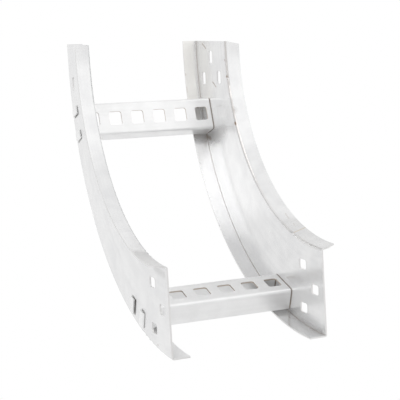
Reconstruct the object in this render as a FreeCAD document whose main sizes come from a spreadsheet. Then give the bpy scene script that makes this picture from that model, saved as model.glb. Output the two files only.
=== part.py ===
import FreeCAD, Part
import math
import os
import Sketcher

# Inside riser of a cable ladder: a 90 degree bend that lifts cables from level to upright.
# Two side rails of folded sheet carry two channel rungs, which are clinched through the rails.
#
# Frame: +X runs along the rungs and +Z is up. The lower end faces -Y and the upper end faces +Z.
# The origin is in the middle of the lower end, level with the rails' base. The arc's centre is on
# the line y = 0, z = inner_radius + rail_height. A rail's concave edge turns through bend_angle,
# and its convex edge runs on a little at both ends, because the ends aren't cut quite square.

# Driving sizes in millimetres and degrees, as they go into the sheet.
SIZES = [
    ("inner_width", 150.0, "clear width between the two webs"),
    ("inner_radius", 198.0, "radius of the rails' concave edge"),
    ("rail_height", 82.0, "height of a rail over both flanges"),
    ("bend_angle", 90.0, "angle that the rails' concave edge turns through"),
    ("lower_overrun", 3.0, "how much further the convex edge reaches at the lower end"),
    ("upper_overrun", 5.0, "how much further the convex edge reaches at the upper end"),
    ("rail_sheet", 1.5, "thickness of the rails' sheet"),
    ("rail_fold_radius", 2.2, "outside radius of the rails' folds, which are sharp inside"),
    ("concave_flange", 15.5, "outward flange, from the web's inner face"),
    ("concave_flange_rise", 2.5, "how much the outward flange rises from its fold to its free edge"),
    ("convex_flange", 16.0, "inward flange, from the web's inner face"),
    ("lower_flange_trim", 5.0, "how much shorter the concave flange's edge is at the lower end"),
    ("upper_flange_trim", 3.5, "how much shorter the concave flange's edge is at the upper end"),
    ("end_slot_length", 13.5, "joint slot, along the rail"),
    ("end_slot_width", 9.5, "joint slot, across the rail"),
    ("end_slot_corner", 2.5, "corner radius of a joint slot"),
    ("end_slot_first", 15.0, "middle of the first joint slot from the rail's end"),
    ("end_slot_second", 38.0, "middle of the pair of joint slots from the rail's end"),
    ("end_slot_spread", 42.0, "distance between the two slots of the pair"),
    ("lower_rung_angle", 18.0, "place of the lower rung round the bend"),
    ("upper_rung_angle", 72.4, "place of the upper rung round the bend"),
    ("rung_clearance", 5.5, "gap between a rung's open back and the rails' convex edge"),
    ("rung_width", 36.0, "width of a rung over its side walls"),
    ("rung_depth", 21.0, "depth of a rung, from its face to its open back"),
    ("rung_sheet", 1.5, "thickness of the rungs' sheet"),
    ("rung_bend_radius", 1.5, "inside radius of the rungs' folds"),
    ("rung_end_gap", 0.3, "clearance between a rung's end and the web"),
    ("hole_length", 14.0, "rung hole, along the rung"),
    ("hole_width", 15.0, "rung hole, across the rung"),
    ("hole_corner", 2.5, "corner radius of a rung hole"),
    ("hole_pitch", 25.0, "distance between rung holes, of which a rung has as many as fit"),
    ("tab_width", 15.0, "width of a clinched tab"),
    ("tab_offset", 5.0, "tab's upper side below the rung's face"),
    ("tab_length", 9.0, "bent tab, from the side wall's outer face to its free edge"),
    ("tab_bend_radius", 0.4, "inside radius of a tab's bend, and its gap from the web"),
    ("tab_slot_gap", 0.3, "clearance round a tab in its slot"),
]
size = {alias: value for alias, value, note in SIZES}

doc = FreeCAD.newDocument("cable_ladder_riser")
sheet = doc.addObject("Spreadsheet::Sheet", "Sizes")
for row, (alias, value, note) in enumerate(SIZES, start=1):
    sheet.set(f"A{row}", note)
    sheet.set(f"B{row}", str(value))
    sheet.setAlias(f"B{row}", alias)
doc.recompute()

# Sketch references: the origin point, and the two ends and the centre of a line or an arc.
ORIGIN = (-1, 1)
START, END, CENTRE = 1, 2, 3
ARC_CENTRE = "Sizes.inner_radius + Sizes.rail_height"
HOLE_COUNT = "floor(Sizes.inner_width / Sizes.hole_pitch)"

# A rung's face, from the arc's centre. The rungs sit near the rails' convex edge.
rung_face = size["inner_radius"] + size["rail_height"] - size["rung_clearance"] - size["rung_depth"]
RUNG_FACE = "(Sizes.inner_radius + Sizes.rail_height - Sizes.rung_clearance - Sizes.rung_depth)"

# The sweep runs this far past the concave edge's ends before it is cut, in degrees. The cutting outline
# reaches past the sweep's end, and across the rail this far past both edges, in millimetres.
SPARE_ANGLE = 3
SPARE = 12


def plane_of(body, role):
    return next(plane for plane in body.Origin.OriginFeatures if plane.Role == role)


def new_sketch(body, name, role):
    sketch = body.newObject("Sketcher::SketchObject", name)
    sketch.AttachmentSupport = (plane_of(body, role), [""])
    sketch.MapMode = "FlatFace"
    return sketch


def outline(sketch, path):
    """Draws a closed outline of lines and arcs, joins it and squares the lines that lie square.

    Each entry is (start, end) for a line or (start, end, centre) for an arc, with points as (x, y).
    Returns each piece as (index, position of its start, position of its end).
    """
    pieces = []
    for start, end, *centre in path:
        a, b = FreeCAD.Vector(*start, 0), FreeCAD.Vector(*end, 0)
        if centre:
            c = FreeCAD.Vector(*centre[0], 0)
            middle = c + ((a - c) + (b - c)).normalize() * (a - c).Length
            index = sketch.addGeometry(Part.Arc(a, middle, b))
        else:
            index = sketch.addGeometry(Part.LineSegment(a, b))
            if abs(a.x - b.x) < 1e-6:
                sketch.addConstraint(Sketcher.Constraint("Vertical", index))
            elif abs(a.y - b.y) < 1e-6:
                sketch.addConstraint(Sketcher.Constraint("Horizontal", index))
        forward = sketch.getPoint(index, START).distanceToPoint(a) < 1e-6
        pieces.append((index, START, END) if forward else (index, END, START))
    for (index, _, tail), (following, head, _), this, after in zip(
        pieces, pieces[1:] + pieces[:1], path, path[1:] + path[:1]
    ):
        kind = "Tangent" if len(this) != len(after) else "Coincident"
        sketch.addConstraint(Sketcher.Constraint(kind, index, tail, following, head))
    return pieces


def dimension(sketch, name, kind, first, second, expression):
    """Adds a horizontal or vertical distance between two points, bound to the sheet."""
    a, b = sketch.getPoint(*first), sketch.getPoint(*second)
    value = b.x - a.x if kind == "DistanceX" else b.y - a.y
    if value < 0:
        first, second, value = second, first, -value
    index = sketch.addConstraint(Sketcher.Constraint(kind, *first, *second, value))
    sketch.renameConstraint(index, name)
    sketch.setExpression(f"Constraints.{name}", expression)


def radius(sketch, name, piece, expression):
    arc = sketch.Geometry[piece[0]]
    index = sketch.addConstraint(Sketcher.Constraint("Radius", piece[0], arc.Radius))
    sketch.renameConstraint(index, name)
    sketch.setExpression(f"Constraints.{name}", expression)


def same_centre(sketch, first, second):
    sketch.addConstraint(
        Sketcher.Constraint("Coincident", first[0], CENTRE, second[0], CENTRE)
    )


def rounded_rectangle(sketch, name, middle, length, width, corner):
    """Draws a rectangle with round corners. Each size is (value, expression), middle is two of them.

    The middle's expressions give its distance from the sketch's origin, so they are never negative.
    """
    (x, x_rule), (y, y_rule) = middle
    a, b, r = length[0] / 2, width[0] / 2, corner[0]
    path = [
        ((x - a + r, y - b), (x + a - r, y - b)),
        ((x + a - r, y - b), (x + a, y - b + r), (x + a - r, y - b + r)),
        ((x + a, y - b + r), (x + a, y + b - r)),
        ((x + a, y + b - r), (x + a - r, y + b), (x + a - r, y + b - r)),
        ((x + a - r, y + b), (x - a + r, y + b)),
        ((x - a + r, y + b), (x - a, y + b - r), (x - a + r, y + b - r)),
        ((x - a, y + b - r), (x - a, y - b + r)),
        ((x - a, y - b + r), (x - a + r, y - b), (x - a + r, y - b + r)),
    ]
    pieces = outline(sketch, path)
    low, high = (pieces[7][0], CENTRE), (pieces[3][0], CENTRE)
    radius(sketch, f"{name}_corner", pieces[1], corner[1])
    for other in (3, 5, 7):
        sketch.addConstraint(Sketcher.Constraint("Equal", pieces[1][0], pieces[other][0]))
    dimension(sketch, f"{name}_length", "DistanceX", low, high, f"{length[1]} - 2 * {corner[1]}")
    dimension(sketch, f"{name}_width", "DistanceY", low, high, f"{width[1]} - 2 * {corner[1]}")
    point = sketch.addGeometry(Part.Point(FreeCAD.Vector(x, y, 0)), True)
    sketch.addConstraint(Sketcher.Constraint("Symmetric", *low, *high, point, 1))
    dimension(sketch, f"{name}_across", "DistanceX", ORIGIN, (point, 1), x_rule)
    dimension(sketch, f"{name}_up", "DistanceY", ORIGIN, (point, 1), y_rule)


def turn_round_bend(sketch, angle):
    """Puts a sketch on the YZ plane into the bend's own frame at an angle from the lower end.

    Its origin is then the arc's centre, its X axis the rail's direction, and its -Y axis outward.
    """
    sketch.setExpression("AttachmentOffset.Base.y", ARC_CENTRE)
    sketch.AttachmentOffset.Rotation.Axis = FreeCAD.Vector(0, 0, 1)
    sketch.setExpression("AttachmentOffset.Rotation.Angle", f"{angle} * 1 deg")


def cut_through(body, name, sketch):
    """A pocket through everything on both sides of the sketch. A rail's web is all that is there."""
    pocket = body.newObject("PartDesign::Pocket", name)
    pocket.Profile = sketch
    pocket.Type = "ThroughAll"
    pocket.Midplane = True
    sketch.Visibility = False
    return pocket


def z_section(sketch, side):
    """A rail's section: web, outward flange on the concave side, inward flange on the convex side.

    The outward flange isn't folded quite square: it rises from its fold to its free edge. Each fold is
    sharp inside and round outside.
    """
    half, high = size["inner_width"] / 2, size["rail_height"]
    sheet_, fold = size["rail_sheet"], size["rail_fold_radius"]
    out, into, rise = size["concave_flange"], size["convex_flange"], size["concave_flange_rise"]
    top = high - fold
    lean = math.atan2(rise, out - fold)
    sine, cosine = math.sin(lean), math.cos(lean)
    tip = top + fold * cosine + (out - fold + fold * sine) * math.tan(lean)
    under_tip = (out + sheet_ * sine, tip - sheet_ * cosine)
    inside = under_tip[1] - (under_tip[0] - sheet_) * math.tan(lean)

    def at(outward, up):
        return (side * (half + outward), up)

    path = [
        (at(-into, 0), at(sheet_ - fold, 0)),
        (at(sheet_ - fold, 0), at(sheet_, fold), at(sheet_ - fold, fold)),
        (at(sheet_, fold), at(sheet_, inside)),
        (at(sheet_, inside), at(*under_tip)),
        (at(*under_tip), at(out, tip)),
        (at(out, tip), at(fold - fold * sine, top + fold * cosine)),
        (at(fold - fold * sine, top + fold * cosine), at(0, top), at(fold, top)),
        (at(0, top), at(0, sheet_)),
        (at(0, sheet_), at(-into, sheet_)),
        (at(-into, sheet_), at(-into, 0)),
    ]
    p = outline(sketch, path)
    base, web_outer, under, tip_out, over, web_inner, above, tip_in = (p[i] for i in (0, 2, 3, 4, 5, 7, 8, 9))
    radius(sketch, "convex_fold", p[1], "Sizes.rail_fold_radius")
    radius(sketch, "concave_fold", p[6], "Sizes.rail_fold_radius")
    face = (web_inner[0], START)
    dimension(sketch, "web_place", "DistanceX", ORIGIN, face, "Sizes.inner_width / 2")
    dimension(sketch, "web_sheet", "DistanceX", face, (web_outer[0], START), "Sizes.rail_sheet")
    dimension(sketch, "convex_sheet", "DistanceY", (base[0], START), (above[0], START), "Sizes.rail_sheet")
    sketch.addConstraint(Sketcher.Constraint("Parallel", under[0], over[0]))
    sketch.addConstraint(Sketcher.Constraint("Perpendicular", tip_out[0], over[0]))
    index = sketch.addConstraint(Sketcher.Constraint("Distance", tip_out[0], sheet_))
    sketch.renameConstraint(index, "concave_sheet")
    sketch.setExpression("Constraints.concave_sheet", "Sizes.rail_sheet")
    dimension(sketch, "outward", "DistanceX", face, (over[0], START), "Sizes.concave_flange")
    dimension(sketch, "rise", "DistanceY", (over[0], END), (over[0], START), "Sizes.concave_flange_rise")
    dimension(sketch, "inward", "DistanceX", face, (tip_in[0], START), "Sizes.convex_flange")
    to_fold = "Sizes.rail_height - Sizes.rail_fold_radius"
    dimension(sketch, "height", "DistanceY", (base[0], START), (p[6][0], CENTRE), to_fold)
    sketch.addConstraint(Sketcher.Constraint("PointOnObject", base[0], START, -1))

    axis = sketch.addGeometry(
        Part.LineSegment(
            FreeCAD.Vector(0, size["inner_radius"] + high, 0),
            FreeCAD.Vector(half, size["inner_radius"] + high, 0),
        ),
        True,
    )
    sketch.addConstraint(Sketcher.Constraint("Horizontal", axis))
    sketch.addConstraint(Sketcher.Constraint("PointOnObject", axis, START, -2))
    dimension(sketch, "axis_length", "DistanceX", (axis, START), (axis, END), "Sizes.inner_width / 2")
    dimension(sketch, "axis_height", "DistanceY", ORIGIN, (axis, START), ARC_CENTRE)


def end_slots(body, name, angle, inward):
    """Three joint slots at a rail's end. inward is +1 at the lower end and -1 at the upper one."""
    sketch = new_sketch(body, f"{name}_sketch", "YZ_Plane")
    turn_round_bend(sketch, angle)
    length = (size["end_slot_length"], "Sizes.end_slot_length")
    width = (size["end_slot_width"], "Sizes.end_slot_width")
    corner = (size["end_slot_corner"], "Sizes.end_slot_corner")
    middle = size["inner_radius"] + size["rail_height"] / 2
    middle_rule = "Sizes.inner_radius + Sizes.rail_height / 2"
    places = [("single", "end_slot_first", 0), ("near", "end_slot_second", -1), ("far", "end_slot_second", 1)]
    for slot, distance, spread in places:
        x = (inward * size[distance], f"Sizes.{distance}")
        y = (
            -(middle + spread * size["end_slot_spread"] / 2),
            f"{middle_rule} + {spread} * Sizes.end_slot_spread / 2",
        )
        rounded_rectangle(sketch, slot, (x, y), length, width, corner)
    return cut_through(body, name, sketch)


def tab_slots(body, name, angle):
    """Two narrow slots that a rung's tabs pass through, one in line with each of its side walls."""
    sketch = new_sketch(body, f"{name}_sketch", "YZ_Plane")
    turn_round_bend(sketch, angle)
    gap = size["tab_slot_gap"]
    across = size["rung_sheet"] / 2 + gap
    along = size["tab_width"] / 2 + gap
    x = (size["rung_width"] - size["rung_sheet"]) / 2
    y = rung_face + size["tab_offset"] + size["tab_width"] / 2
    for wall, side in (("front", -1), ("rear", 1)):
        left, right, low, high = side * x - across, side * x + across, -y - along, -y + along
        path = [
            ((left, low), (right, low)),
            ((right, low), (right, high)),
            ((right, high), (left, high)),
            ((left, high), (left, low)),
        ]
        p = outline(sketch, path)
        corner, opposite = (p[0][0], START), (p[1][0], END)
        width = "Sizes.rung_sheet + 2 * Sizes.tab_slot_gap"
        height = "Sizes.tab_width + 2 * Sizes.tab_slot_gap"
        dimension(sketch, f"{wall}_width", "DistanceX", corner, opposite, width)
        dimension(sketch, f"{wall}_height", "DistanceY", corner, opposite, height)
        edge = opposite if side > 0 else corner
        rule = "Sizes.rung_width / 2 + Sizes.tab_slot_gap"
        dimension(sketch, f"{wall}_across", "DistanceX", ORIGIN, edge, rule)
        rule = f"{RUNG_FACE} + Sizes.tab_offset - Sizes.tab_slot_gap"
        dimension(sketch, f"{wall}_up", "DistanceY", ORIGIN, opposite, rule)
    return cut_through(body, name, sketch)


def end_cut(body, name, angle, overrun, inward):
    """Cuts a rail to length. The cut leans, so that the convex edge reaches further than the concave one."""
    sketch = new_sketch(body, f"{name}_sketch", "YZ_Plane")
    turn_round_bend(sketch, angle)
    concave = size["inner_radius"]
    convex = concave + size["rail_height"]
    reach = -inward * size[overrun]
    far = reach - inward * convex * math.tan(math.radians(SPARE_ANGLE))
    sweep_rule = f"({ARC_CENTRE}) * tan({SPARE_ANGLE} * 1 deg)"
    corners = [
        (0, -concave + SPARE),
        (0, -concave),
        (reach, -convex),
        (reach, -convex - SPARE),
        (far, -convex - SPARE),
        (far, -concave + SPARE),
    ]
    p = outline(sketch, list(zip(corners, corners[1:] + corners[:1])))
    past_concave, lean, past_convex, far_side, _, _ = p
    dimension(sketch, "concave", "DistanceY", (lean[0], lean[1]), ORIGIN, "Sizes.inner_radius")
    dimension(sketch, "convex", "DistanceY", (lean[0], lean[2]), ORIGIN, ARC_CENTRE)
    dimension(sketch, "overrun", "DistanceX", (lean[0], lean[1]), (lean[0], lean[2]), f"Sizes.{overrun}")
    sketch.addConstraint(Sketcher.Constraint("PointOnObject", lean[0], lean[1], -2))
    for label, kind, piece, rule in (
        ("past_concave", "DistanceY", past_concave, str(SPARE)),
        ("past_convex", "DistanceY", past_convex, str(SPARE)),
        ("past_sweep", "DistanceX", far_side, sweep_rule),
    ):
        dimension(sketch, label, kind, (piece[0], piece[1]), (piece[0], piece[2]), rule)
    return cut_through(body, name, sketch)


def flange_trim(body, name, side, angle, trim, inward):
    """Cuts the concave flange's end at a slant, so that its free edge is shorter than the web."""
    sketch = new_sketch(body, f"{name}_sketch", "XY_Plane")
    sketch.AttachmentOffset.Rotation.Axis = FreeCAD.Vector(1, 0, 0)
    sketch.setExpression("AttachmentOffset.Rotation.Angle", f"{angle} * 1 deg")
    sketch.setExpression("AttachmentOffset.Base.y", f"Sizes.inner_radius * sin({angle} * 1 deg)")
    sketch.setExpression(
        "AttachmentOffset.Base.z", f"{ARC_CENTRE} - Sizes.inner_radius * cos({angle} * 1 deg)"
    )
    root = size["inner_width"] / 2 + size["rail_fold_radius"]
    tip = size["inner_width"] / 2 + size["concave_flange"] + size["rail_sheet"]
    root_rule = "Sizes.inner_width / 2 + Sizes.rail_fold_radius"
    tip_rule = "Sizes.inner_width / 2 + Sizes.concave_flange + Sizes.rail_sheet"
    corners = [(side * root, 0), (side * tip, 0), (side * tip, inward * size[trim])]
    lines = [
        sketch.addGeometry(Part.LineSegment(FreeCAD.Vector(*a, 0), FreeCAD.Vector(*b, 0)))
        for a, b in zip(corners, corners[1:] + corners[:1])
    ]
    for line, following in zip(lines, lines[1:] + lines[:1]):
        sketch.addConstraint(Sketcher.Constraint("Coincident", line, END, following, START))
    sketch.addConstraint(Sketcher.Constraint("Horizontal", lines[0]))
    sketch.addConstraint(Sketcher.Constraint("Vertical", lines[1]))
    sketch.addConstraint(Sketcher.Constraint("PointOnObject", lines[0], START, -1))
    dimension(sketch, "root", "DistanceX", ORIGIN, (lines[0], START), root_rule)
    dimension(sketch, "tip", "DistanceX", ORIGIN, (lines[0], END), tip_rule)
    dimension(sketch, "trim", "DistanceY", (lines[1], START), (lines[1], END), f"Sizes.{trim}")
    return cut_through(body, name, sketch)


def make_rail(name, side):
    """A side rail: the folded section swept round the bend, with its slots. side is +1 on the right."""
    body = doc.addObject("PartDesign::Body", name)
    body.Label = name
    section = new_sketch(body, "section", "XZ_Plane")
    z_section(section, side)
    bend = body.newObject("PartDesign::Revolution", "bend")
    bend.Profile = section
    bend.ReferenceAxis = (section, ["Axis0"])
    bend.Type = "TwoAngles"
    bend.setExpression("Angle", f"Sizes.bend_angle + {SPARE_ANGLE}")
    bend.Angle2 = SPARE_ANGLE
    section.Visibility = False
    end_cut(body, "lower_end", "0", "lower_overrun", 1)
    end_cut(body, "upper_end", "Sizes.bend_angle", "upper_overrun", -1)
    flange_trim(body, "lower_trim", side, "0", "lower_flange_trim", 1)
    flange_trim(body, "upper_trim", side, "Sizes.bend_angle", "upper_flange_trim", -1)
    end_slots(body, "lower_joint_slots", "0", 1)
    end_slots(body, "upper_joint_slots", "Sizes.bend_angle", -1)
    tab_slots(body, "lower_rung_slots", "Sizes.lower_rung_angle")
    tab_slots(body, "upper_rung_slots", "Sizes.upper_rung_angle")
    return body


def channel_section(sketch):
    """A rung's section: a channel, its perforated face at the top and its back open."""
    half, deep = size["rung_width"] / 2, size["rung_depth"]
    sheet_, fold = size["rung_sheet"], size["rung_bend_radius"]
    outer = fold + sheet_
    bend = half - outer
    path = [
        ((-half, -deep), (-half, -outer)),
        ((-half, -outer), (-bend, 0), (-bend, -outer)),
        ((-bend, 0), (bend, 0)),
        ((bend, 0), (half, -outer), (bend, -outer)),
        ((half, -outer), (half, -deep)),
        ((half, -deep), (half - sheet_, -deep)),
        ((half - sheet_, -deep), (half - sheet_, -outer)),
        ((half - sheet_, -outer), (bend, -sheet_), (bend, -outer)),
        ((bend, -sheet_), (-bend, -sheet_)),
        ((-bend, -sheet_), (-half + sheet_, -outer), (-bend, -outer)),
        ((-half + sheet_, -outer), (-half + sheet_, -deep)),
        ((-half + sheet_, -deep), (-half, -deep)),
    ]
    p = outline(sketch, path)
    front, face, rear = p[0], p[2], p[4]
    same_centre(sketch, p[1], p[9])
    same_centre(sketch, p[3], p[7])
    radius(sketch, "front_fold", p[9], "Sizes.rung_bend_radius")
    radius(sketch, "rear_fold", p[7], "Sizes.rung_bend_radius")
    dimension(sketch, "sheet", "DistanceX", (front[0], START), (p[10][0], END), "Sizes.rung_sheet")
    dimension(sketch, "front_half", "DistanceX", ORIGIN, (front[0], START), "Sizes.rung_width / 2")
    dimension(sketch, "rear_half", "DistanceX", ORIGIN, (rear[0], END), "Sizes.rung_width / 2")
    dimension(sketch, "front_deep", "DistanceY", ORIGIN, (front[0], START), "Sizes.rung_depth")
    dimension(sketch, "rear_deep", "DistanceY", ORIGIN, (rear[0], END), "Sizes.rung_depth")
    sketch.addConstraint(Sketcher.Constraint("PointOnObject", face[0], START, -1))


def tab_section(sketch):
    """Both tabs at one end: each runs on from its side wall, through the web, and folds towards the other."""
    sheet_, fold = size["rung_sheet"], size["tab_bend_radius"]
    outer = fold + sheet_
    wall = size["rung_width"] / 2
    root = size["inner_width"] / 2 - size["rung_end_gap"] - sheet_
    bend = size["inner_width"] / 2 + size["rail_sheet"]
    tip = wall - size["tab_length"]
    for name, side in (("front", -1), ("rear", 1)):
        path = [
            ((root, side * wall), (bend, side * wall)),
            ((bend, side * wall), (bend + outer, side * (wall - outer)), (bend, side * (wall - outer))),
            ((bend + outer, side * (wall - outer)), (bend + outer, side * tip)),
            ((bend + outer, side * tip), (bend + fold, side * tip)),
            ((bend + fold, side * tip), (bend + fold, side * (wall - outer))),
            ((bend + fold, side * (wall - outer)), (bend, side * (wall - sheet_)), (bend, side * (wall - outer))),
            ((bend, side * (wall - sheet_)), (root, side * (wall - sheet_))),
            ((root, side * (wall - sheet_)), (root, side * wall)),
        ]
        p = outline(sketch, path)
        same_centre(sketch, p[1], p[5])
        radius(sketch, f"{name}_fold", p[5], "Sizes.tab_bend_radius")
        start, back = (p[0][0], START), (p[7][0], START)
        bend_rule = "Sizes.inner_width / 2 + Sizes.rail_sheet"
        root_rule = "Sizes.inner_width / 2 - Sizes.rung_end_gap - Sizes.rung_sheet"
        dimension(sketch, f"{name}_sheet", "DistanceY", back, start, "Sizes.rung_sheet")
        dimension(sketch, f"{name}_wall", "DistanceY", ORIGIN, start, "Sizes.rung_width / 2")
        dimension(sketch, f"{name}_root", "DistanceX", ORIGIN, start, root_rule)
        dimension(sketch, f"{name}_bend", "DistanceX", ORIGIN, (p[1][0], CENTRE), bend_rule)
        dimension(sketch, f"{name}_length", "DistanceY", (p[3][0], START), start, "Sizes.tab_length")


def make_rung(name, angle):
    """A rung: channel with a row of holes and four clinched tabs, set round the bend by its angle."""
    body = doc.addObject("PartDesign::Body", name)
    body.Label = name
    section = new_sketch(body, "section", "YZ_Plane")
    channel_section(section)
    channel = body.newObject("PartDesign::Pad", "channel")
    channel.Profile = section
    channel.Midplane = True
    channel.setExpression("Length", "Sizes.inner_width - 2 * Sizes.rung_end_gap")
    section.Visibility = False

    drawing = new_sketch(body, "hole_sketch", "XY_Plane")
    count = math.floor(size["inner_width"] / size["hole_pitch"])
    first = (count - 1) * size["hole_pitch"] / 2
    x = (-first, f"({HOLE_COUNT} - 1) * Sizes.hole_pitch / 2")
    length = (size["hole_length"], "Sizes.hole_length")
    width = (size["hole_width"], "Sizes.hole_width")
    corner = (size["hole_corner"], "Sizes.hole_corner")
    rounded_rectangle(drawing, "hole", (x, (0, "0")), length, width, corner)
    hole = body.newObject("PartDesign::Pocket", "hole")
    hole.Profile = drawing
    hole.Midplane = True
    hole.setExpression("Length", "4 * Sizes.rung_sheet")
    drawing.Visibility = False

    row = body.newObject("PartDesign::LinearPattern", "hole_row")
    row.Originals = [hole]
    row.Direction = (drawing, ["H_Axis"])
    row.setExpression("Length", f"({HOLE_COUNT} - 1) * Sizes.hole_pitch")
    row.setExpression("Occurrences", HOLE_COUNT)
    body.Tip = row

    folds = new_sketch(body, "tab_sketch", "XY_Plane")
    folds.setExpression("AttachmentOffset.Base.z", "-Sizes.tab_offset")
    tab_section(folds)
    tabs = body.newObject("PartDesign::Pad", "tabs")
    tabs.Profile = folds
    tabs.Reversed = True
    tabs.setExpression("Length", "Sizes.tab_width")
    folds.Visibility = False

    other_end = body.newObject("PartDesign::Mirrored", "other_end")
    other_end.Originals = [tabs]
    other_end.MirrorPlane = (plane_of(body, "YZ_Plane"), [""])
    body.Tip = other_end

    body.Placement.Rotation.Axis = FreeCAD.Vector(1, 0, 0)
    body.setExpression("Placement.Rotation.Angle", f"{angle} * 1 deg")
    body.setExpression("Placement.Base.y", f"{RUNG_FACE} * sin({angle} * 1 deg)")
    body.setExpression("Placement.Base.z", f"{ARC_CENTRE} - {RUNG_FACE} * cos({angle} * 1 deg)")
    return body


def check(body):
    """Stops the build if a feature failed, cut nothing or added nothing, or the solid isn't sound."""
    for item in [body, *body.Group]:
        if "Invalid" in item.State or "Error" in item.State:
            raise RuntimeError(f"{body.Label}: {item.Label} failed")
    for item in body.Group:
        base = getattr(item, "BaseFeature", None)
        if base is None:
            continue
        change = item.Shape.Volume - base.Shape.Volume
        if abs(change) < 1e-3:
            raise RuntimeError(f"{body.Label}: {item.Label} changes nothing")
    shape = body.Shape
    if shape.isNull() or not shape.isValid() or len(shape.Solids) != 1:
        raise RuntimeError(f"{body.Label} isn't one sound solid")


bodies = [
    make_rail("left_side_rail", -1),
    make_rail("right_side_rail", 1),
    make_rung("lower_rung", "Sizes.lower_rung_angle"),
    make_rung("upper_rung", "Sizes.upper_rung_angle"),
]
doc.recompute()

os.makedirs("parts", exist_ok=True)
for body in bodies:
    check(body)
for body in bodies:
    body.Shape.exportStep(f"parts/{body.Label}.step")
    box = body.Shape.BoundBox
    print(
        f"{body.Label}: {body.Shape.Volume:.0f} mm3,",
        f"x {box.XMin:.1f}..{box.XMax:.1f}, y {box.YMin:.1f}..{box.YMax:.1f}, z {box.ZMin:.1f}..{box.ZMax:.1f}",
    )
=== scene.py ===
# %% [markdown]
# # A right-angle bend of cable ladder
# The object is four pieces of bright sheet steel: two side rails that sweep through a right angle and two
# perforated rungs whose tabs are bent over outside the rails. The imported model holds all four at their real
# size, so nothing is modelled again here. This lesson loads it, looks at it through a fitted camera, lights it
# like a catalogue shot and spends most of its cells on the sheet itself.

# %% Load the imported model
import math

import bpy
import numpy as np
from mathutils import Matrix, Vector


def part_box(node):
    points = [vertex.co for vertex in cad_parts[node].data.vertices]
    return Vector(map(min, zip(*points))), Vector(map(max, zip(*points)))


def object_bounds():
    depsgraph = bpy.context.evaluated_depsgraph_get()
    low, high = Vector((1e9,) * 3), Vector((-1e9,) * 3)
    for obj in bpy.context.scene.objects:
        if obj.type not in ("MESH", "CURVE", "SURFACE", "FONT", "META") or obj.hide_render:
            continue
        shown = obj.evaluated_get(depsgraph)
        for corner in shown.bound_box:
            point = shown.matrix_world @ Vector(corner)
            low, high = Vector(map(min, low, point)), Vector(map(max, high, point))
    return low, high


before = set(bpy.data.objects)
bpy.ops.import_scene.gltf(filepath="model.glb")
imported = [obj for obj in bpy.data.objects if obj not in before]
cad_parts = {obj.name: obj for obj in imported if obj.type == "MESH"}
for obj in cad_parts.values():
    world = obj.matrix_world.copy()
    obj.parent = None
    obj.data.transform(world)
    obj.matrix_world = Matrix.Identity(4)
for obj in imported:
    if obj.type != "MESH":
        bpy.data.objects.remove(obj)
cad_box = [[float(value) for value in corner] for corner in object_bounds()]
rails = [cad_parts[name] for name in ("left_side_rail", "right_side_rail")]
rungs = [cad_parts[name] for name in ("upper_rung", "lower_rung")]
print("box of the model in metres:", cad_box)

# %% [markdown]
# Every place on this object is easiest to give round the bend: how far from the arc's centre, and at which
# angle from the lower end. The bend is a quarter turn that starts in the plane y = 0, so its outer radius is
# how far back the model reaches. The rails' base is at zero, so the arc's centre is as high as that radius is
# long. The radius and the half width are read from the model's boxes instead of being written again.

# %% Measure the bend
low, high = (Vector(corner) for corner in cad_box)
ARC_HEIGHT = high.y
HALF_WIDTH = float(np.max(np.abs([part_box("left_side_rail")[0][0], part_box("right_side_rail")[1][0]])))
print("outer radius", round(ARC_HEIGHT, 4), "half width over the flanges", round(HALF_WIDTH, 4))

# %% [markdown]
# The camera could be set by eye, but then no slot or fold would fall where the photograph has it, so it was
# fitted to the corners of the rails. It stands about a metre away, in front of the lower end and to the left
# of it, a little above the middle of the bend. The photograph's horizon isn't quite level, which the roll
# repeats. A long lens keeps the two rails nearly parallel.

# %% Set up the camera
IMAGE_SIZE = 400
FOCAL_PIXELS = 1017.46
SENSOR_WIDTH = 36.0
AZIMUTH = math.radians(-22.18)
ELEVATION = math.radians(6.53)
ROLL = math.radians(-2.58)
DISTANCE = 1.0324
AIM = Vector((0.0, 0.150, 0.130))
AIM_OFFSET = Vector((0.01789, -0.01028))

level_right = Vector((math.cos(AZIMUTH), math.sin(AZIMUTH), 0))
backward = Vector(
    (
        math.sin(AZIMUTH) * math.cos(ELEVATION),
        -math.cos(AZIMUTH) * math.cos(ELEVATION),
        math.sin(ELEVATION),
    )
)
level_up = backward.cross(level_right)
right = level_right * math.cos(ROLL) + level_up * math.sin(ROLL)
up = level_up * math.cos(ROLL) - level_right * math.sin(ROLL)
place = AIM + right * AIM_OFFSET.x + up * AIM_OFFSET.y + backward * DISTANCE

camera_data = bpy.data.cameras.new("camera")
camera_data.sensor_width = SENSOR_WIDTH
camera_data.sensor_fit = "HORIZONTAL"
camera_data.lens = FOCAL_PIXELS / IMAGE_SIZE * SENSOR_WIDTH
camera = bpy.data.objects.new("camera", camera_data)
camera.matrix_world = Matrix.Translation(place) @ Matrix((right, up, backward)).transposed().to_4x4()
scene = bpy.context.scene
scene.collection.objects.link(camera)
scene.camera = camera
print("camera at", [round(value, 4) for value in place], "lens", round(camera_data.lens, 2))

# %% [markdown]
# Bright sheet shows its surroundings more than its own colour. The photograph was lit from all round, with
# white on every side. Lamps alone would leave black gaps between their reflections, so the world is white and
# even, and three soft lamps only shape it. A lamp adds to what a surface mirrors, so each one is placed by
# that. The right lamp brightens the concave flanges and the rungs' faces. The right rail's inward flange shows
# the left lamp by way of the web beside it. The back lamp is small and near, so that only the right web mirrors
# it, as the long bright patch under the upper rung.

# %% White surroundings
WORLD_LEVEL = 1.0

scene.view_settings.view_transform = "Standard"
world = bpy.data.worlds.new("white surroundings")
world.use_nodes = True
surroundings = world.node_tree.nodes["Background"]
surroundings.inputs["Color"].default_value = (1, 1, 1, 1)
surroundings.inputs["Strength"].default_value = WORLD_LEVEL
scene.world = world
print("world level", WORLD_LEVEL)

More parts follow.
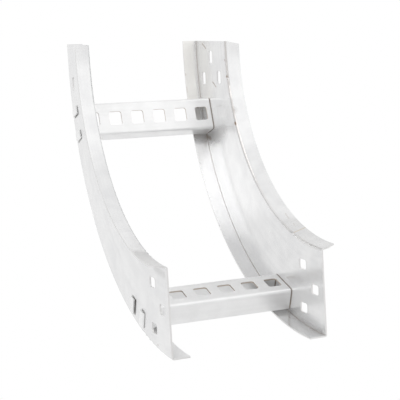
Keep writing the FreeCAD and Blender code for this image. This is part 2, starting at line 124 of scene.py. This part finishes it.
# %% Soft lamps
BEND_MIDDLE = (0, 0.14, 0.14)
WEB_PATCH = (0.075, 0.2, 0.13)


def soft_lamp(name, position, aim, width, height, radiance, roll=0.0):
    """An area lamp that looks at a point, rolled by degrees. Its power is radiance times pi times its area."""
    data = bpy.data.lights.new(name, "AREA")
    data.shape = "RECTANGLE"
    data.size = width
    data.size_y = height
    data.energy = radiance * math.pi * width * height
    lamp = bpy.data.objects.new(name, data)
    scene.collection.objects.link(lamp)
    look = (Vector(aim) - Vector(position)).to_track_quat("-Z", "Y").to_matrix().to_4x4()
    lamp.matrix_world = Matrix.Translation(position) @ look @ Matrix.Rotation(math.radians(roll), 4, "Z")


soft_lamp("right lamp", (0.55, -1.04, 1.16), BEND_MIDDLE, width=1.5, height=1.5, radiance=0.22)
soft_lamp("left lamp", (-0.676, -0.512, 1.533), BEND_MIDDLE, width=1.2, height=0.9, radiance=1.4)
soft_lamp("back lamp", (-0.056, 0.60, 0.094), WEB_PATCH, width=0.072, height=0.14, radiance=1.2, roll=17)
print(len(bpy.data.lights), "soft lamps")

# %% [markdown]
# The floor is a plain white sheet a little below the bend. The photograph's background is pure white right up
# to the object. More light on the floor would give that too, but it would wash out the sheet. So rays from the
# camera and from reflections see the floor as plain white, and only the light that it scatters back on the
# object is worked out.

# %% A helper for Math nodes
def calc(tree, operation, *inputs):
    """Adds one Math node. An input is a number or another node's output."""
    node = tree.nodes.new("ShaderNodeMath")
    node.operation = operation
    for socket, value in zip(node.inputs, inputs):
        if isinstance(value, (int, float)):
            socket.default_value = value
        else:
            tree.links.new(value, socket)
    return node.outputs[0]


print("calc adds a Math node")

# %% Lay the floor
FLOOR_DROP = 0.02
FLOOR_HALF = 3.0
PAPER = (0.9, 0.9, 0.9, 1)

floor_mesh = bpy.data.meshes.new("floor")
corners = np.array([(-1, -1), (1, -1), (1, 1), (-1, 1)]) * FLOOR_HALF
floor_mesh.from_pydata([(x, y, low.z - FLOOR_DROP) for x, y in corners], [], [(0, 1, 2, 3)])
floor = bpy.data.objects.new("floor", floor_mesh)
scene.collection.objects.link(floor)

paper = bpy.data.materials.new("white paper")
paper.use_nodes = True
tree = paper.node_tree
tree.nodes.remove(tree.nodes["Principled BSDF"])
rays = tree.nodes.new("ShaderNodeLightPath").outputs
seen = calc(tree, "MAXIMUM", rays["Is Camera Ray"], rays["Is Glossy Ray"])
seen = calc(tree, "MAXIMUM", seen, rays["Is Transmission Ray"])
matt = tree.nodes.new("ShaderNodeBsdfDiffuse")
matt.inputs["Color"].default_value = PAPER
white = tree.nodes.new("ShaderNodeEmission")
choice = tree.nodes.new("ShaderNodeMixShader")
for output, socket in zip((seen, matt.outputs[0], white.outputs[0]), choice.inputs):
    tree.links.new(output, socket)
tree.links.new(choice.outputs[0], tree.nodes["Material Output"].inputs["Surface"])
floor_mesh.materials.append(paper)
print("floor at", round(low.z - FLOOR_DROP, 3))

# %% [markdown]
# The sheet's marks follow the bend, so they need its coordinates at every point of the surface: the distance
# from the mirror plane, the radius from the arc's centre and the length along the bend. A UV map could hold
# them, but the model has none, so nodes work them out from the Object coordinates. The same nodes say which way
# the surface faces in those terms, because a cut edge is where the sheet faces a way that its flat and folded
# sides never do. Two more tell the sheet's two faces apart: "Turned out" is above zero where a face looks away
# from the mirror plane, and "Turned in" where it looks at the arc's centre. All of it is one node group, built
# once and used in both finishes.

# %% Helpers for node groups
def new_group(name, inputs):
    """A node group with number inputs, given by name and default. Returns its tree and the inputs' values."""
    group = bpy.data.node_groups.new(name, "ShaderNodeTree")
    for socket_name, value in inputs.items():
        socket = group.interface.new_socket(socket_name, in_out="INPUT", socket_type="NodeSocketFloat")
        socket.default_value = value
    return group, group.nodes.new("NodeGroupInput").outputs


def give(group, results):
    """Adds a group's outputs and links each one to its result."""
    for name in results:
        group.interface.new_socket(name, in_out="OUTPUT", socket_type="NodeSocketFloat")
    ends = group.nodes.new("NodeGroupOutput")
    for name, value in results.items():
        group.links.new(value, ends.inputs[name])
    print("group", group.name, "gives", ", ".join(results))


print("new_group begins a node group, give ends it")

# %% Coordinates round the bend
MIDDLE_RADIUS = 0.239

bend_place, _ = new_group("place on the bend", {})
coordinates = bend_place.nodes.new("ShaderNodeTexCoord")
split = bend_place.nodes.new("ShaderNodeSeparateXYZ")
bend_place.links.new(coordinates.outputs["Object"], split.inputs[0])
x, y, z = split.outputs
facing = bend_place.nodes.new("ShaderNodeSeparateXYZ")
bend_place.links.new(coordinates.outputs["Normal"], facing.inputs[0])
facing_x, facing_y, facing_z = facing.outputs

down = calc(bend_place, "SUBTRACT", ARC_HEIGHT, z)
squares = [calc(bend_place, "POWER", value, 2) for value in (y, down)]
angle = calc(bend_place, "ARCTAN2", y, down)
sine = calc(bend_place, "SINE", angle)
cosine = calc(bend_place, "COSINE", angle)
outward = calc(
    bend_place,
    "SUBTRACT",
    calc(bend_place, "MULTIPLY", facing_y, sine),
    calc(bend_place, "MULTIPLY", facing_z, cosine),
)
onward = calc(
    bend_place,
    "ADD",
    calc(bend_place, "MULTIPLY", facing_y, cosine),
    calc(bend_place, "MULTIPLY", facing_z, sine),
)
give(
    bend_place,
    {
        "Side": x,
        "Radius": calc(bend_place, "SQRT", calc(bend_place, "ADD", *squares)),
        "Along": calc(bend_place, "MULTIPLY", angle, MIDDLE_RADIUS),
        "Facing side": calc(bend_place, "ABSOLUTE", facing_x),
        "Facing centre": calc(bend_place, "ABSOLUTE", outward),
        "Facing along": calc(bend_place, "ABSOLUTE", onward),
        "Turned out": calc(bend_place, "MULTIPLY", facing_x, calc(bend_place, "SIGN", x)),
        "Turned in": calc(bend_place, "MULTIPLY", outward, -1),
    },
)

# %% [markdown]
# Rolled sheet has fine lines one way: they run along the rails and along the rungs, so faint that they show
# only where the sheet is bright. An image could hold them, but noise has no seams and stays sharp close up. It
# is stretched along one direction by giving it few waves there and many across. A second, cloudy noise stands
# for the soft patches of tone that zinc keeps, and a third is the slow wave that pressing leaves in the sheet.

# %% Helpers for noise and masks
def noise(tree, vector, scale, detail):
    """A noise texture's value at a vector."""
    node = tree.nodes.new("ShaderNodeTexNoise")
    node.inputs["Scale"].default_value = scale
    node.inputs["Detail"].default_value = detail
    tree.links.new(vector, node.inputs["Vector"])
    return node.outputs["Fac"]


def ramp(tree, value, start, end):
    """Turns a value into a mask that rises smoothly from zero at start to one at end."""
    node = tree.nodes.new("ShaderNodeMapRange")
    node.interpolation_type = "SMOOTHSTEP"
    node.inputs["From Min"].default_value = start
    node.inputs["From Max"].default_value = end
    tree.links.new(value, node.inputs["Value"])
    return node.outputs["Result"]


print("noise and ramp add one node each")

# %% Grain, cloud and wave
DIRECTIONS = ("Side", "Radius", "Along")
RAIL_WAVES = (280, 280, 6)
RUNG_WAVES = (6, 280, 280)

grain_inputs = dict.fromkeys(DIRECTIONS, 0)
grain_inputs |= {f"Waves {name.lower()}": waves for name, waves in zip(DIRECTIONS, RAIL_WAVES)}
sheet_marks, given = new_group("sheet marks", grain_inputs)
plain = sheet_marks.nodes.new("ShaderNodeCombineXYZ")
stretched = sheet_marks.nodes.new("ShaderNodeCombineXYZ")
for index, name in enumerate(DIRECTIONS):
    sheet_marks.links.new(given[name], plain.inputs[index])
    waves = calc(sheet_marks, "MULTIPLY", given[name], given[f"Waves {name.lower()}"])
    sheet_marks.links.new(waves, stretched.inputs[index])
give(
    sheet_marks,
    {
        "Grain": noise(sheet_marks, stretched.outputs[0], scale=1, detail=1),
        "Cloud": noise(sheet_marks, plain.outputs[0], scale=60, detail=3),
        "Wave": noise(sheet_marks, plain.outputs[0], scale=16, detail=1),
    },
)

# %% [markdown]
# A cut edge is the thin side of the sheet, at the rails' ends, along the flanges' free edges and inside each
# slot and hole. It is duller than the rolled face, and on the rungs a little brown. The edges could have a
# material of their own, face by face, but that would change the model's mesh. A mask of a few plain comparisons
# of place and facing finds them and leaves the mesh alone.

# %% Helpers for masks by place
def use_group(tree, group, **values):
    """Places a node group in a tree and sets or links its inputs by name. Returns its outputs."""
    node = tree.nodes.new("ShaderNodeGroup")
    node.node_tree = group
    for name, value in values.items():
        socket = node.inputs[name.replace("_", " ").capitalize()]
        if isinstance(value, (int, float)):
            socket.default_value = value
        else:
            tree.links.new(value, socket)
    return node.outputs


def all_of(tree, *conditions):
    """One where each comparison (value, operation, limit) holds."""
    product = None
    for value, operation, limit in conditions:
        mask = calc(tree, operation, value, limit)
        product = mask if product is None else calc(tree, "MULTIPLY", product, mask)
    return product


def any_of(tree, *masks):
    """The strongest of the masks at each point."""
    largest = masks[0]
    for mask in masks[1:]:
        largest = calc(tree, "MAXIMUM", largest, mask)
    return largest


print("use_group places a group, all_of and any_of join masks")

# %% Where the rails are cut
WALL_FACING = 0.5
TIP_FACING = 0.8
WEB_ZONE = (0.2025, 0.2755)
OUTWARD_TIP = HALF_WIDTH - 0.0008
INWARD_TIP = 0.0598


def rail_cuts(tree, at):
    """Ends and slot walls that face along, slot walls that face the centre, and both flanges' tips."""
    side = calc(tree, "ABSOLUTE", at["Side"])
    return any_of(
        tree,
        all_of(tree, (at["Facing along"], "GREATER_THAN", WALL_FACING)),
        all_of(
            tree,
            (at["Facing centre"], "GREATER_THAN", WALL_FACING),
            (at["Radius"], "GREATER_THAN", WEB_ZONE[0]),
            (at["Radius"], "LESS_THAN", WEB_ZONE[1]),
        ),
        all_of(tree, (at["Facing side"], "GREATER_THAN", TIP_FACING), (side, "GREATER_THAN", OUTWARD_TIP)),
        all_of(tree, (at["Facing side"], "GREATER_THAN", TIP_FACING), (side, "LESS_THAN", INWARD_TIP)),
    )


print("flange tips at", round(OUTWARD_TIP, 4), "and", INWARD_TIP, "from the middle")

# %% Where the rungs are cut
RUNG_ANGLES = (math.radians(18), math.radians(72.4))
HOLE_HALF = 0.009
RUNG_END = 0.0745
PAST_END = 0.001
END_FACING = 0.7
RUNG_BACK = 0.2738


def rung_cuts(tree, at):
    """The channel's ends and hole walls that face sideways, hole walls that face along, and the open rims."""
    side = calc(tree, "ABSOLUTE", at["Side"])
    offsets = [calc(tree, "SUBTRACT", at["Along"], angle * MIDDLE_RADIUS) for angle in RUNG_ANGLES]
    from_middle = calc(tree, "MINIMUM", *(calc(tree, "ABSOLUTE", offset) for offset in offsets))
    return any_of(
        tree,
        all_of(tree, (at["Facing side"], "GREATER_THAN", END_FACING), (side, "LESS_THAN", RUNG_END + PAST_END)),
        all_of(
            tree,
            (at["Facing along"], "GREATER_THAN", WALL_FACING),
            (from_middle, "LESS_THAN", HOLE_HALF),
            (side, "LESS_THAN", RUNG_END),
        ),
        all_of(
            tree,
            (at["Facing centre"], "GREATER_THAN", WALL_FACING),
            (at["Radius"], "GREATER_THAN", RUNG_BACK),
        ),
    )


print("rungs end", RUNG_END, "from the middle")

# %% [markdown]
# Handling and pressing left single marks: a scratch, a tan line across a flange and specks at a fold. Painted
# light and shade is laid on the same way. There is painted shade under the upper rung on the right web and its
# inward flange, along folds near the lower end and over the outward flanges near the lower end. There is
# painted light on the inward flanges near the lower end, and a painted highlight with a cream tint at the top
# of the right rail's inward flange. Painted shadow lines run round the left rail's tabs. Each one could be a
# texture of its own, but each is also just a stroke between two places, or a spot where both are the same.
# So one group measures the distance from a point of the surface to such a stroke, and every mark is one line of
# a table. The places are in metres: radius and length along the bend on a web, distance from the middle and
# length along the bend on a flange. A mark lies on one face of the sheet only, the one in view: the right web's
# inside, the left web's outside, and the flanges' side towards the arc's centre.

# %% Helpers for vectors
def pair(tree, u, v):
    """Joins two numbers into a vector."""
    node = tree.nodes.new("ShaderNodeCombineXYZ")
    tree.links.new(u, node.inputs[0])
    tree.links.new(v, node.inputs[1])
    return node.outputs[0]


def vector_calc(tree, operation, first, second=None, scale=None):
    """Adds one Vector Math node and returns its number or its vector."""
    node = tree.nodes.new("ShaderNodeVectorMath")
    node.operation = operation
    tree.links.new(first, node.inputs[0])
    if second is not None:
        tree.links.new(second, node.inputs[1])
    if scale is not None:
        tree.links.new(scale, node.inputs["Scale"])
    return node.outputs["Value" if operation in ("DOT_PRODUCT", "LENGTH") else "Vector"]


print("pair and vector_calc add one node each")

# %% The stroke
# The nearest place on the stroke is its start plus a share of the whole: the product of the way to the point
# and the whole stroke, divided by the stroke's square, and kept from zero to one.
stroke_inputs = ("U", "V", "U start", "V start", "U end", "V end", "Half width", "Softness")
stroke, given = new_group("stroke", dict.fromkeys(stroke_inputs, 0))
point = pair(stroke, given["U"], given["V"])
begin = pair(stroke, given["U start"], given["V start"])
to_point = vector_calc(stroke, "SUBTRACT", point, begin)
whole = vector_calc(stroke, "SUBTRACT", pair(stroke, given["U end"], given["V end"]), begin)
product = vector_calc(stroke, "DOT_PRODUCT", to_point, whole)
share = calc(stroke, "DIVIDE", product, vector_calc(stroke, "DOT_PRODUCT", whole, whole))
share = calc(stroke, "MINIMUM", calc(stroke, "MAXIMUM", share, 0), 1)
nearest = vector_calc(stroke, "SCALE", whole, scale=share)
distance = vector_calc(stroke, "LENGTH", vector_calc(stroke, "SUBTRACT", to_point, nearest))
past_edge = calc(stroke, "SUBTRACT", distance, given["Half width"])
faded = ramp(stroke, calc(stroke, "DIVIDE", past_edge, given["Softness"]), 0, 1)
give(stroke, {"Mask": calc(stroke, "SUBTRACT", 1, faded)})

# %% The rails' marks
LEFT, RIGHT = -1, 1
RUST = (0.30, 0.22, 0.16)
TAN = (0.66, 0.56, 0.42)
# A cream tint that is also a painted highlight, lighter than the sheet, at the top of the right rail's inward
# flange.
CREAM_AND_HIGHLIGHT = (0.97, 0.955, 0.915)
# Painted shade: under the upper rung, along folds near the lower end and over the outward flanges near the
# lower end.
PAINTED_SHADE = (0.34, 0.33, 0.32)
# Painted shadow in the gaps round the left rail's tabs.
SHADE = (0.12, 0.11, 0.10)
# Painted light on the inward flanges near the lower end.
PAINTED_LIGHT = (0.98, 0.98, 0.98)
# Rail, face, start, end, half width in mm, softness in mm, strength.
RAIL_MARKS = {
    RUST: [
        (RIGHT, "web", (0.2603, 0.3762), (0.2506, 0.3705), 0.3, 0.6, 0.7),
        (RIGHT, "web", (0.2395, 0.3326), (0.2370, 0.3310), 0.3, 0.6, 0.8),
        (RIGHT, "web", (0.2370, 0.3310), (0.2315, 0.3252), 0.2, 0.8, 0.7),
        (RIGHT, "web", (0.2013, 0.3518), (0.2013, 0.3518), 0.6, 0.9, 0.8),
        (RIGHT, "web", (0.2004, 0.3304), (0.2004, 0.3304), 0.8, 1.0, 0.9),
        (RIGHT, "web", (0.1999, 0.2682), (0.1994, 0.2660), 0.9, 1.0, 0.9),
        (RIGHT, "web", (0.2543, -0.0040), (0.2543, -0.0046), 0.7, 0.6, 0.8),
        (RIGHT, "flange", (0.0594, 0.3472), (0.0594, 0.3472), 0.9, 0.8, 0.8),
        (RIGHT, "flange", (0.0592, 0.3344), (0.0592, 0.3300), 0.5, 0.8, 0.7),
        (RIGHT, "web", (0.2790, 0.2850), (0.2690, 0.2790), 0.6, 2.5, 0.7),
        (RIGHT, "flange", (0.0838, 0.1000), (0.0846, 0.1120), 0.15, 0.5, 0.35),
        (RIGHT, "flange", (0.0835, 0.0830), (0.0840, 0.0880), 0.15, 0.5, 0.35),
        (LEFT, "web", (0.2787, 0.0449), (0.2787, 0.0449), 0.5, 0.6, 0.6),
        (LEFT, "web", (0.2754, 0.0268), (0.2754, 0.0268), 0.5, 0.6, 0.6),
    ],
    TAN: [
        (RIGHT, "flange", (0.0766, 0.0686), (0.0935, 0.0731), 0.35, 0.5, 0.9),
        (RIGHT, "web", (0.2760, 0.3900), (0.2760, 0.3100), 0.6, 2.0, 0.15),
    ],
    CREAM_AND_HIGHLIGHT: [
        (RIGHT, "flange", (0.0640, 0.3950), (0.0640, 0.3050), 5.0, 6.0, 0.7),
    ],
    PAINTED_SHADE: [
        (RIGHT, "web", (0.2700, 0.2810), (0.2330, 0.2740), 1.0, 16.0, 0.32),
        (RIGHT, "flange", (0.0740, 0.2850), (0.0620, 0.2860), 1.0, 7.0, 0.5),
        (RIGHT, "web", (0.2770, 0.0560), (0.2770, 0.0050), 0.5, 5.0, 0.35),
        (LEFT, "web", (0.2055, 0.0340), (0.2060, 0.0060), 0.2, 5.0, 0.25),
        (LEFT, "flange", (0.0830, -0.0030), (0.0830, 0.0450), 8.0, 14.0, 0.36),
        (RIGHT, "flange", (0.0830, -0.0030), (0.0830, 0.0850), 8.0, 16.0, 0.22),
    ],
    PAINTED_LIGHT: [
        (LEFT, "flange", (0.0665, -0.0050), (0.0665, 0.0500), 7.0, 3.0, 0.45),
        (RIGHT, "flange", (0.0665, -0.0050), (0.0665, 0.0500), 7.0, 3.0, 0.12),
    ],
    SHADE: [
        (LEFT, "web", (0.2585, 0.0820), (0.2730, 0.0820), 0.9, 0.8, 0.9),
        (LEFT, "web", (0.2580, 0.0835), (0.2580, 0.0905), 0.2, 0.5, 0.8),
        (LEFT, "web", (0.2585, 0.0580), (0.2730, 0.0580), 0.3, 0.6, 0.8),
        (LEFT, "web", (0.2580, 0.0590), (0.2580, 0.0660), 0.2, 0.5, 0.8),
        (LEFT, "web", (0.2585, 0.3093), (0.2730, 0.3093), 0.2, 0.6, 0.8),
        (LEFT, "web", (0.2580, 0.3101), (0.2580, 0.3182), 0.2, 0.5, 0.7),
        (LEFT, "web", (0.2585, 0.2848), (0.2730, 0.2848), 0.2, 0.6, 0.8),
        (LEFT, "web", (0.2580, 0.2858), (0.2580, 0.2939), 0.2, 0.5, 0.7),
    ],
}
print(sum(len(marks) for marks in RAIL_MARKS.values()), "marks on the rails")

# %% Draw the marks
MM = 0.001
ON_FACE = 0.6


def drawn_marks(tree, at, marks):
    """The strongest of a list of marks at each point of a rail."""
    side = calc(tree, "ABSOLUTE", at["Side"])
    masks = []
    for rail, face, start, end, half, soft, strength in marks:
        on_web = face == "web"
        drawn = use_group(
            tree,
            stroke,
            u=at["Radius"] if on_web else side,
            v=at["Along"],
            u_start=start[0],
            v_start=start[1],
            u_end=end[0],
            v_end=end[1],
            half_width=half * MM,
            softness=soft * MM,
        )
        inside = on_web and rail == RIGHT
        here = all_of(
            tree,
            (at["Side"], "GREATER_THAN" if rail == RIGHT else "LESS_THAN", 0),
            (at["Facing side" if on_web else "Facing centre"], "GREATER_THAN", ON_FACE),
            (at["Turned out" if on_web else "Turned in"], "LESS_THAN" if inside else "GREATER_THAN", 0),
        )
        masks.append(calc(tree, "MULTIPLY", calc(tree, "MULTIPLY", drawn["Mask"], strength), here))
    return any_of(tree, *masks)


print("each mark shows on one face")

# %% [markdown]
# The folds carry thin brown lines that are partly dirt and partly painted shade in their creases. The inner
# corner of each convex fold carries a thin brown line, and a fainter one follows the concave folds. On a rung
# the line is at its end, where it meets the web, and it is partly a painted shadow of the gap there. Modelled
# grooves could do it, but the real lines have no depth, so they are a tint by place. The cloud breaks the
# rails' lines up, as dirt never lies evenly. The round of the right rail's concave fold gets the same colour as
# a painted shade over its highlight, more so over its upper half.

# %% Lines along the folds
WEB_FACE = 0.0750
FACE_SLACK = 0.0004
CONVEX_CORNER = 0.2785
CONCAVE_LINE = 0.2003
RUNG_LINE = RUNG_END + 0.0003
CONVEX_REACH, TUCKED_REACH, CONCAVE_REACH = 0.0011, 0.0006, 0.0008
CONCAVE_STRENGTH = 0.25
LINE_BASE, LINE_CLOUD = 0.15, 0.7


def near(tree, value, middle, reach):
    """One at the middle, falling to zero at the reach on both sides."""
    away = calc(tree, "ABSOLUTE", calc(tree, "SUBTRACT", value, middle))
    return calc(tree, "SUBTRACT", 1, ramp(tree, away, 0, reach))


def fold_lines(tree, at, broken):
    """The rails' lines: on the web and the flange beside a convex fold, and on the web at a concave one."""
    side = calc(tree, "ABSOLUTE", at["Side"])
    on_web = all_of(
        tree, (at["Facing side"], "GREATER_THAN", ON_FACE), (side, "LESS_THAN", WEB_FACE + FACE_SLACK)
    )
    on_flange = all_of(tree, (at["Facing centre"], "GREATER_THAN", ON_FACE), (side, "LESS_THAN", WEB_FACE))
    convex = calc(tree, "MULTIPLY", near(tree, at["Radius"], CONVEX_CORNER, CONVEX_REACH), on_web)
    tucked = calc(tree, "MULTIPLY", near(tree, side, WEB_FACE, TUCKED_REACH), on_flange)
    concave = calc(tree, "MULTIPLY", near(tree, at["Radius"], CONCAVE_LINE, CONCAVE_REACH), on_web)
    all_lines = any_of(tree, convex, tucked, calc(tree, "MULTIPLY", concave, CONCAVE_STRENGTH))
    return calc(tree, "MULTIPLY", all_lines, calc(tree, "MULTIPLY_ADD", broken, LINE_CLOUD, LINE_BASE))


def rung_lines(tree, at, broken):
    """A rung's line of dirt and painted shadow, just past its end where it meets the web. It is whole, so the
    cloud isn't used.
    """
    side = calc(tree, "ABSOLUTE", at["Side"])
    beside = calc(tree, "LESS_THAN", side, RUNG_END + PAST_END)
    return calc(tree, "MULTIPLY", near(tree, side, RUNG_LINE, CONVEX_REACH), beside)


print("convex line at radius", CONVEX_CORNER, "and concave line at", CONCAVE_LINE)

# %% Painted shade on the right rail's concave fold
FOLD_DEPTH = 0.003
FOLD_FACING = (0.22, 0.9)
FOLD_TONE, FOLD_RISE = 0.12, 0.2
FOLD_CLIMB = (0.12, 0.24)


def rail_lines(tree, at, broken):
    """The rails' lines, and a painted shade on the right rail's concave fold where the surface turns from the
    web to the flange.
    """
    fold = all_of(
        tree,
        (at["Side"], "GREATER_THAN", 0),
        (at["Radius"], "LESS_THAN", CONCAVE_LINE + FOLD_DEPTH),
        (at["Facing side"], "GREATER_THAN", FOLD_FACING[0]),
        (at["Facing side"], "LESS_THAN", FOLD_FACING[1]),
    )
    tone = calc(tree, "MULTIPLY_ADD", ramp(tree, at["Along"], *FOLD_CLIMB), FOLD_RISE, FOLD_TONE)
    return any_of(tree, fold_lines(tree, at, broken), calc(tree, "MULTIPLY", fold, tone))


print("fold toned from", FOLD_TONE, "to", FOLD_TONE + FOLD_RISE)

# %% [markdown]
# The finish itself is metal: almost white and neutral, quite smooth, with a roughness that the cloud varies. It
# isn't wholly metallic, because zinc's dull skin also scatters light. The slow wave goes into the bump, which
# bends the reflections softly as pressed sheet does. The fine lines could go there too, but at this size they
# only tint the colour. Marks, lines and edges are laid over each other by their masks, and they are duller than
# the face.

# %% A helper for layers of colour
def mixed(tree, factor, colour, below):
    """Lays a plain colour by a mask over another, which is plain too or a node's output."""
    node = tree.nodes.new("ShaderNodeMix")
    node.data_type = "RGBA"
    node.inputs["B"].default_value = (*colour, 1)
    tree.links.new(factor, node.inputs["Factor"])
    if isinstance(below, tuple):
        node.inputs["A"].default_value = (*below, 1)
    else:
        tree.links.new(below, node.inputs["A"])
    return node.outputs["Result"]


print("mixed adds one layer")

# %% A sheet finish
# The colour of the fold lines: partly dirt, partly painted shade in the creases and at the rungs' joints, and
# painted shade on the right rail's concave fold.
DIRT_AND_SHADE = (0.26, 0.20, 0.15)
METALLIC = 0.72
GRAIN_SHARE = 0.30
TONE_SPAN = (0.30, 0.68)
CLOUD_ROUGHNESS = 0.08
MARK_ROUGHNESS = 0.22
BUMP_STRENGTH, BUMP_DISTANCE = 0.2, 0.0012


def bright_sheet(name, cuts, lines, drawn, waves, light, dark, edge, roughness):
    """A sheet finish. waves gives the grain's waves a metre across the side, the radius and the bend."""
    material = bpy.data.materials.new(name)
    material.use_nodes = True
    tree = material.node_tree
    surface = tree.nodes["Principled BSDF"]
    surface.inputs["Metallic"].default_value = METALLIC
    at = use_group(tree, bend_place)
    marks = use_group(
        tree,
        sheet_marks,
        side=at["Side"],
        radius=at["Radius"],
        along=at["Along"],
        waves_side=waves[0],
        waves_radius=waves[1],
        waves_along=waves[2],
    )

    cloud = calc(tree, "MULTIPLY", marks["Cloud"], 1 - GRAIN_SHARE)
    tone = calc(tree, "MULTIPLY_ADD", marks["Grain"], GRAIN_SHARE, cloud)
    colour = mixed(tree, ramp(tree, tone, *TONE_SPAN), light, dark)
    layers = [(mark, drawn_marks(tree, at, table)) for mark, table in drawn.items()]
    layers += [(DIRT_AND_SHADE, lines(tree, at, marks["Cloud"])), (edge, cuts(tree, at))]
    for layer, mask in layers:
        colour = mixed(tree, mask, layer, colour)
    tree.links.new(colour, surface.inputs["Base Color"])

    dull = any_of(tree, *(mask for _, mask in layers))
    rough = calc(tree, "MULTIPLY_ADD", marks["Cloud"], CLOUD_ROUGHNESS, roughness - CLOUD_ROUGHNESS / 2)
    rough = calc(tree, "MULTIPLY_ADD", dull, MARK_ROUGHNESS, rough)
    tree.links.new(rough, surface.inputs["Roughness"])
    bump = tree.nodes.new("ShaderNodeBump")
    bump.inputs["Strength"].default_value = BUMP_STRENGTH
    bump.inputs["Distance"].default_value = BUMP_DISTANCE
    tree.links.new(marks["Wave"], bump.inputs["Height"])
    tree.links.new(bump.outputs["Normal"], surface.inputs["Normal"])
    print("finish", name, "has", len(layers), "layers over its", len(tree.nodes), "nodes")
    return material


print("bright_sheet makes a finish")

# %% The two finishes
rail_finish = bright_sheet(
    "rail sheet",
    rail_cuts,
    rail_lines,
    RAIL_MARKS,
    RAIL_WAVES,
    light=(0.80, 0.80, 0.80),
    dark=(0.73, 0.73, 0.735),
    edge=(0.74, 0.735, 0.73),
    roughness=0.22,
)
rung_finish = bright_sheet(
    "rung sheet",
    rung_cuts,
    rung_lines,
    {},
    RUNG_WAVES,
    light=(0.86, 0.86, 0.86),
    dark=(0.80, 0.80, 0.80),
    edge=(0.60, 0.53, 0.47),
    roughness=0.35,
)
for nodes, finish in ((rails, rail_finish), (rungs, rung_finish)):
    for node in nodes:
        node.data.materials.clear()
        node.data.materials.append(finish)
print("finished", len(rails), "rails and", len(rungs), "rungs")
